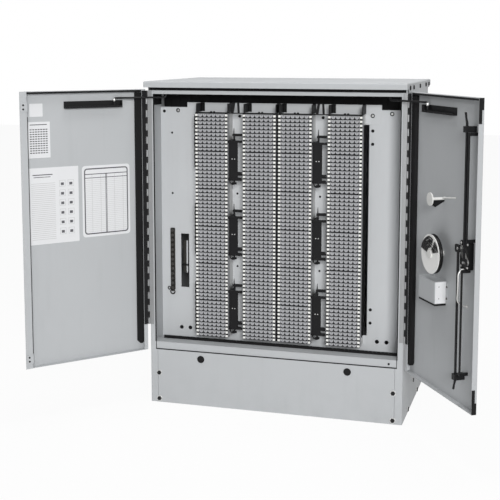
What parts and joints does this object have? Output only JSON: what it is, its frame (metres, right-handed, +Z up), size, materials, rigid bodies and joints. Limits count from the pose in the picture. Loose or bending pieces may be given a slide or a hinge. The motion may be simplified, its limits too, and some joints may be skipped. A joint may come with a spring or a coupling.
{
  "type": "roadside utility cabinet",
  "caption": "Sheet-steel roadside wiring cabinet on a plinth: paired doors on piano hinges held open by rod stays, a rod latch, and columns of terminal blocks inside.",
  "frame": {"origin": "middle of the plinth's foot, on the ground", "axes": "+Z up, -Y out of the front where the doors are, +X to the right seen from the front"},
  "size_m": [1.6434, 1.0524, 1.271],
  "materials": {
    "shell_paint": "satin powder coat",
    "black_steel": "black enamel",
    "zinc_steel": "zinc plated",
    "ground_metal": "dull plated bar",
    "terminal_plastic": "moulded",
    "black_plastic": "moulded",
    "seal_rubber": "matt",
    "peg_plastic": "moulded",
    "reel_plastic": "moulded",
    "wire_sleeve": "wound wire"
  },
  "bodies": {
    "cabinet": {"base_side_left": "shell_paint", "base_side_right": "shell_paint", "base_rear_panel": "shell_paint", "base_front_panel": "shell_paint", "side_panel_left": "shell_paint", "side_panel_right": "shell_paint", "back_panel": "shell_paint", "floor_panel": "shell_paint", "front_header": "shell_paint", "front_sill": "shell_paint", "hood": "shell_paint", "equipment_panel": "shell_paint", "base_bolts": "zinc_steel", "hinge_leaf_cabinet_left": "zinc_steel", "hinge_leaf_cabinet_right": "zinc_steel", "hinge_pin_left": "zinc_steel", "hinge_pin_right": "zinc_steel", "column_channel_1": "zinc_steel", "column_channel_2": "zinc_steel", "column_channel_3": "zinc_steel", "column_channel_4": "zinc_steel", "ground_bar": "ground_metal", "ground_screws": "ground_metal", "terminal_blocks_1": "terminal_plastic", "terminal_blocks_2": "terminal_plastic", "terminal_blocks_3": "terminal_plastic", "terminal_blocks_4": "terminal_plastic", "knockout_plugs": "black_plastic", "cable_fingers": "black_plastic", "wire_guides": "black_plastic"},
    "left_door": {"left_door": "shell_paint", "left_hinge_seal": "seal_rubber", "left_top_trim": "seal_rubber", "hinge_leaf_door_left": "zinc_steel", "left_stay_channel": "black_steel", "strike_clips": "black_plastic"},
    "right_door": {"right_door": "shell_paint", "right_hinge_seal": "seal_rubber", "right_top_trim": "seal_rubber", "hinge_leaf_door_right": "zinc_steel", "right_stay_channel": "black_steel", "corner_seals": "seal_rubber", "latch_case": "black_plastic", "rod_guides": "black_steel", "reel_pegs": "peg_plastic", "door_box": "shell_paint", "latch_guard": "black_steel"},
    "left_stay": {"left_stay_rod": "black_steel"},
    "right_stay": {"right_stay_rod": "black_steel"},
    "latch": {"latch_spindle": "zinc_steel"},
    "upper_rod": {"latch_rod_upper": "black_steel"},
    "lower_rod": {"latch_rod_lower": "black_steel"},
    "reel": {"wire_reel": "reel_plastic", "reel_winding": "wire_sleeve"}
  },
  "joints": [
    {"name": "left_door_swing", "type": "hinge", "parent": "cabinet", "child": "left_door", "pos_m": [-0.505, -0.2918, 0.726], "axis": [0, 0, 1], "range_deg": [0, 131]},
    {"name": "right_door_swing", "type": "hinge", "parent": "cabinet", "child": "right_door", "pos_m": [0.505, -0.2918, 0.726], "axis": [0, 0, -1], "range_deg": [0, 123]},
    {"name": "left_stay_swing", "type": "hinge", "parent": "cabinet", "child": "left_stay", "pos_m": [-0.434, -0.2698, 1.209], "axis": [0, 0, 1], "range_deg": [0, 136]},
    {"name": "right_stay_swing", "type": "hinge", "parent": "cabinet", "child": "right_stay", "pos_m": [0.434, -0.2698, 1.209], "axis": [0, 0, -1], "range_deg": [0, 130.6]},
    {"name": "latch_turn", "type": "hinge", "parent": "right_door", "child": "latch", "pos_m": [0.74464, -0.66082, 0.726], "axis": [-0.8387, -0.5446, 0], "range_deg": [0, 90]},
    {"name": "upper_rod_slide", "type": "slide", "parent": "right_door", "child": "upper_rod", "axis": [0, 0, 1], "range_m": [0, 0.04]},
    {"name": "lower_rod_slide", "type": "slide", "parent": "right_door", "child": "lower_rod", "axis": [0, 0, -1], "range_m": [0, 0.04]},
    {"name": "reel_spin", "type": "hinge", "parent": "right_door", "child": "reel", "pos_m": [0.64225, -0.50314, 0.698], "axis": [-0.8387, -0.5446, 0], "continuous": true}
  ],
  "couplings": [
    {"joint": "left_stay_swing", "follows": "left_door_swing", "ratio": 1.038},
    {"joint": "right_stay_swing", "follows": "right_door_swing", "ratio": 1.0617},
    {"joint": "upper_rod_slide", "follows": "latch_turn", "m_per_rad": 0.025461},
    {"joint": "lower_rod_slide", "follows": "latch_turn", "m_per_rad": 0.025461}
  ]
}
